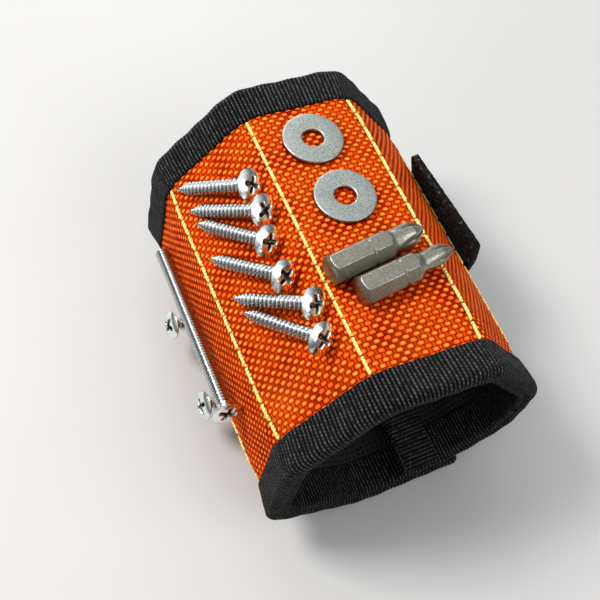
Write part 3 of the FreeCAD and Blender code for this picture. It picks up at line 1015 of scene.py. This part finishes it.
def tab_layer(thick, top, inset, material, fuzz, name, low, high):
    s = spread(low, high, TAB_STEP)
    y, v, q = tab_ring(s, thick, top, inset, fuzz)
    rings = in_space(tab.at(s[:, None], v, TAB_SOFT), y)
    return skin(name, rings, material, map_of(s, q))


def make_tab():
    root = tab.start_of("tab_base")
    end = tab.s[-1] - 0.2
    strap = partial(tab_layer, TAB_THICK, 0.0, 0.0, WEBBING, TAB_FUZZ)
    lay_along(tab, "tab_webbing", root - 1.0, end, strap, {"tab": "tab_webbing"})
    hook_end = tab.end_of("tab_mid") - 0.5
    hooks = partial(tab_layer, HOOK_THICK, -TAB_THICK - 0.1, HOOK_INSET, HOOK, 0.0)
    lay_along(tab, "tab_hook", root + 1.0, hook_end, hooks, {"tab": "tab_hook"})


# ---- Loose hardware ----


def lift_axis(node):
    """Direction straight off the pocket that a piece of hardware lies on."""
    return np.array(next(j["axis"] for j in frame["joints"] if j["child"] == node))


class Placed:
    """Where a long piece of hardware lies: its axis, from its slimmer end, and the way off its pocket."""

    def __init__(self, node):
        points = points_of(node)
        spread_axis = np.linalg.svd(points - points.mean(axis=0), full_matrices=False)[2][0]
        reach = points @ spread_axis
        ends = [points[reach < reach.min() + 0.1], points[reach > reach.max() - 0.1]]
        ends.sort(key=lambda p: np.linalg.norm(np.ptp(p, axis=0)))
        low, high = [(p.min(axis=0) + p.max(axis=0)) / 2 for p in ends]
        self.length = np.linalg.norm(high - low)
        self.along = (high - low) / self.length
        self.origin = low
        up = lift_axis(node)
        up = up - (up @ self.along) * self.along
        self.up = up / np.linalg.norm(up)
        self.side = np.cross(self.along, self.up)

    def point(self, x, radius, angle):
        """(x, y, z) of points round the axis, from cylindrical coordinates."""
        x, radius, angle = [a[..., None] for a in np.broadcast_arrays(x, radius, angle)]
        outwards = np.cos(angle) * self.up + np.sin(angle) * self.side
        return self.origin + x * self.along + radius * outwards


def turned(node, name, placed, x, radius, angle, groove, material):
    """A solid round an axis, for a CAD node. groove is how deep in a groove or recess a point is."""
    uv = np.stack(np.broadcast_arrays(x, groove, radius)[:2], axis=-1)
    piece = skin(f"{node}_{name}", placed.point(x, radius, angle), material, uv)
    take_place(piece, node)


def thread(x, angle, core, pitch):
    """Radius of a helical thread."""
    turn = (x / pitch + angle / (2 * np.pi)) % 1
    return core + (THREAD_CREST - core) * np.clip(1.1 - np.abs(turn - 0.5) / 0.24, 0, 1)


def cross_recess(radius, angle, arm, width, depth):
    """Depth of a cross recess at points on a screw's head."""

    def slot(along, across):
        sides = smoothstep(width / 2 + 0.12, width / 2 - 0.16, across)
        return sides * smoothstep(arm, 0.45 * arm, along)

    u, w = np.abs(radius * np.cos(angle)), np.abs(radius * np.sin(angle))
    return depth * np.maximum(slot(u, w), slot(w, u))


def depth_in(radius):
    """How deep in a groove each point of a turned shape lies, as a share of the deepest."""
    depth = 1 - radius / radius.max(axis=1, keepdims=True)
    return depth / depth.max()


HEAD_RADIUS = 3.95
THREAD_CREST = 1.85
THREAD_SHADE = 0.34  # how dark the painted shade at the deepest point of a thread is, where a recess of 1 mm is 1
WOOD_RECESS = (2.4, 0.9, 1.7)  # arm, width and depth
MACHINE_RECESS = (2.6, 0.95, 1.6)
END_RADIUS = 0.02  # of the small ring that closes a turned shape


def screw(node, profile, spin, recess):
    """Threaded screw from its point to the middle of its head. profile(length, angle) gives its parts."""
    placed = Placed(node)
    angle = ring_angles(48)
    level = np.zeros_like(angle)
    shank_x, shank_radius, under, face_x, face_radius = profile(placed.length, angle)
    cut = cross_recess(face_radius, angle + spin, *recess)
    x = np.concatenate([shank_x + level, under[:, :1] + level, face_x - cut])
    radius = np.concatenate([shank_radius, under[:, 1:] + level, face_radius + level])
    # groove sets the painted shade in the thread's roots and in the cross recess
    groove = np.concatenate([THREAD_SHADE * depth_in(shank_radius), 0 * under[:, :1] + level, cut])
    turned(node, "turned", placed, x, radius, angle, groove, BRIGHT_ZINC)


def head_face(length, drop, power):
    """(x, radius) over a screw's head, whose rim lies lower than its middle by drop."""
    radius = np.linspace(HEAD_RADIUS, END_RADIUS, 30)[:, None]
    return length - drop * (radius / HEAD_RADIUS) ** power, radius


def wood_profile(length, angle):
    """Sharp coarse thread and a flat, thin-rimmed round head."""
    base = length - 2.3
    x = spread(0.02, base, 0.15)[:, None]
    fade = smoothstep(base, base - 1.5, x)
    shank = thread(x, angle, 1.1, 1.3) * fade + 1.35 * (1 - fade)
    point = smoothstep(-1.0, 6.5, x)
    under = np.array([(0.1, 1.6), (0.5, 2.2), (0.85, 3.3), (1.0, 3.75), (1.2, HEAD_RADIUS)]) + (base, 0)
    return x, shank * point, under, *head_face(length, 0.95, 3)


def machine_profile(length, angle):
    """Fine thread, blunt end and countersunk head."""
    base = length - 2.4
    x = spread(0.0, base, 0.1)[:, None]
    fade = smoothstep(base, base - 1.0, x)
    shank = thread(x, angle, 1.38, 0.85) * fade + 1.6 * (1 - fade)
    end = smoothstep(-0.6, 0.5, x)
    under = np.array([(0.3, 1.8), (1.9, 3.7), (2.05, HEAD_RADIUS)]) + (base, 0)
    return x, shank * end, under, *head_face(length, 0.3, 4)


HEX_HALF = 3.175  # half of a quarter inch, across flats
HEX_LENGTH = 15.5
POINT_STOPS = 1.2  # the point ends this far before the hexagon's shoulder
FLUTE_TURN = 0.35
# FLUTE_SHADE sets how dark the painted shade in a bit's flutes is
FLUTE_SHADE = 0.4


def bit_shaft(length, shoulder, neck, x, angle):
    """Radius of a bit behind its point: a hexagon, chamfered, nicked and stepped in at the front."""
    sixth = np.pi / 3
    hexagon = HEX_HALF / np.cos((angle + sixth / 2) % sixth - sixth / 2)
    back = 2.95 + 1.3 * (length - x)
    nick = 3.2 + 0.9 * np.abs(x - shoulder - 5.0)
    collar = 1.25 * smoothstep(shoulder - POINT_STOPS, shoulder + 2.0, x)
    step = 2.0 * smoothstep(shoulder + 0.8, shoulder + 2.6, x)
    return np.minimum(np.minimum(hexagon, back), np.minimum(nick, neck + collar + step))


def bit_point(shoulder, tip, x, angle):
    """Radius of a bit's cross point, whose four flutes run out towards the shoulder."""
    point = tip * (0.28 + 0.72 * smoothstep(-0.6, 3.6, x) ** 0.8)
    flute = 0.46 * smoothstep(shoulder - 1.0, 1.2, x)
    wings = np.abs(np.cos(2 * (angle + FLUTE_TURN))) ** 0.55
    return point * (1 - flute * (1 - wings))


def driver_bit(node, neck, tip):
    """Hexagon bit with a cross point at its slimmer end."""
    placed = Placed(node)
    angle = ring_angles(96)
    x = spread(0, placed.length, 0.16)[:, None]
    shoulder = placed.length - HEX_LENGTH
    shaft = bit_shaft(placed.length, shoulder, neck, x, angle)
    blade = np.minimum(bit_point(shoulder, tip, x, angle), neck)
    radius = np.where(x < shoulder - POINT_STOPS, blade, shaft)
    closing = np.full_like(radius[:1], END_RADIUS)
    x = np.concatenate([[[0.0]], x, [[placed.length]]])
    radius = np.concatenate([closing, radius, closing])
    # groove sets the painted shade in the flutes
    groove = FLUTE_SHADE * depth_in(radius) * (x < shoulder - POINT_STOPS)
    turned(node, "ground", placed, x, radius, angle, groove, BIT_STEEL)


WASHER_HOLE = 2.65  # radius
WASHER_HALF_THICK = 0.6
PUNCH_RADIUS = 0.3


def washer_section(outer):
    """(radius, height) round a stamped ring, whose upper edges are rounded by the punch."""
    inner, half = WASHER_HOLE, WASHER_HALF_THICK
    rim = arc((outer - PUNCH_RADIUS, half - PUNCH_RADIUS), PUNCH_RADIUS, 0, 90, 5)
    bore = arc((inner + PUNCH_RADIUS, half - PUNCH_RADIUS), PUNCH_RADIUS, 90, 180, 5)
    flat = spread(outer - 2 * PUNCH_RADIUS, inner + 2 * PUNCH_RADIUS, 0.5)
    top = np.stack([flat, half + 0.03 * np.sin(2.1 * flat)], axis=1)
    return np.concatenate([[(outer, -half)], rim, top, bore, [(inner, -half)]])


def washer(node):
    """A slightly uneven stamped ring that lies on its pocket."""
    low, high = corners(node)
    up = lift_axis(node)
    side = np.array([0.0, 1.0, 0.0])
    along = np.cross(side, up)
    turn = np.linspace(0, 2 * np.pi, 120)[:, None]
    radius, height = washer_section((high[1] - low[1]) / 2).T
    x, y = (radius * np.cos(turn))[..., None], (radius * np.sin(turn))[..., None]
    z = (height + 0.04 * np.sin(2 * turn))[..., None]
    rings = (low + high) / 2 + x * along + y * side + z * up
    piece = skin(f"{node}_stamped", rings, SATIN_ZINC, capped=False, reverse=True)
    take_place(piece, node)


def make_hardware():
    woods = sorted(n for n in frame["nodes"] if n.startswith("wood_screw"))
    for k, node in enumerate(woods):
        screw(node, wood_profile, 0.7 * k, WOOD_RECESS)
    screw("machine_screw", machine_profile, 0.5, MACHINE_RECESS)
    driver_bit("driver_bit_1", 2.9, 2.95)
    driver_bit("driver_bit_2", 2.35, 2.35)
    washer("washer_1")
    washer("washer_2")


# ---- Studio ----


def make_floor(height):
    shader = Shader("pale_floor")
    grain = shader.remap(shader.noise(6.0), 0.3, 0.7)
    shade = shader.mix(grain, rgb(0.44, 0.435, 0.425), rgb(0.47, 0.465, 0.455))
    material = shader.finish(Base_Color=shade, Roughness=0.75)
    reach = 1500.0
    points = [(x * reach, y * reach, height) for x, y in ((-1, -1), (1, -1), (1, 1), (-1, 1))]
    new_object("floor", mesh_from("floor", points, [[0, 1, 2, 3]]), material)


def make_light(name, place, size, power, tint=(1, 1, 1)):
    """A square lamp that faces the object."""
    light = bpy.data.lights.new(name, "AREA")
    light.size = size
    light.energy = power
    light.color = tint
    lamp = bpy.data.objects.new(name, light)
    lamp.location = place
    lamp.rotation_euler = (-Vector(place)).to_track_quat("-Z", "Y").to_euler()
    bpy.context.scene.collection.objects.link(lamp)


def make_world():
    """Light from all round, brighter from above. The camera sees a plain grey backdrop instead."""
    world = bpy.data.worlds.new("studio")
    world.use_nodes = True
    nodes = Nodes(world.node_tree)
    sky = nodes.tree.nodes["Background"]
    rise = nodes.parts(nodes.node("ShaderNodeTexCoord").outputs["Generated"])[2]
    nodes.feed(sky.inputs["Color"], rgb(0.93, 0.95, 1.0))
    nodes.feed(sky.inputs["Strength"], nodes.remap(rise, 0.1, 0.95, 0.16, 0.95))
    backdrop = nodes.node("ShaderNodeBackground", {"Color": grey(0.50)})
    seen = nodes.node("ShaderNodeLightPath").outputs["Is Camera Ray"]
    choose = nodes.node("ShaderNodeMixShader", {0: seen, 1: sky.outputs[0], 2: backdrop.outputs[0]})
    nodes.feed(nodes.tree.nodes["World Output"].inputs["Surface"], choose.outputs[0])
    bpy.context.scene.world = world


def make_studio():
    make_light("key", (-0.30, 0.22, 0.55), 0.22, 3.6, (1.0, 0.98, 0.95))
    make_light("fill", (0.45, -0.45, 0.40), 0.5, 1.5)
    make_light("rim", (0.10, 0.60, 0.25), 0.35, 1.6)
    make_world()
    bpy.context.scene.view_settings.view_transform = "Standard"
    bpy.context.scene.view_settings.look = "Medium High Contrast"


VIEW_AZIMUTH = -22.8
VIEW_ELEVATION = 62.3
VIEW_DISTANCE = 0.250
VIEW_TARGET = (-0.0082, -0.0003, 0.0013)
VIEW_LENS = 60.0


def make_camera():
    data = bpy.data.cameras.new("camera")
    data.lens = VIEW_LENS
    data.sensor_width = 36.0
    data.clip_start = 0.01
    camera = bpy.data.objects.new("camera", data)
    a, e = math.radians(VIEW_AZIMUTH), math.radians(VIEW_ELEVATION)
    back = Vector((math.sin(a) * math.cos(e), -math.cos(a) * math.cos(e), math.sin(e)))
    camera.location = Vector(VIEW_TARGET) + VIEW_DISTANCE * back
    camera.rotation_euler = back.to_track_quat("Z", "Y").to_euler()
    bpy.context.scene.collection.objects.link(camera)
    bpy.context.scene.camera = camera


make_band()
make_stitch_rows()
make_tab()
make_hardware()
make_studio()
make_camera()

lowest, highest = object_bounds()
make_floor(lowest.z / MM)
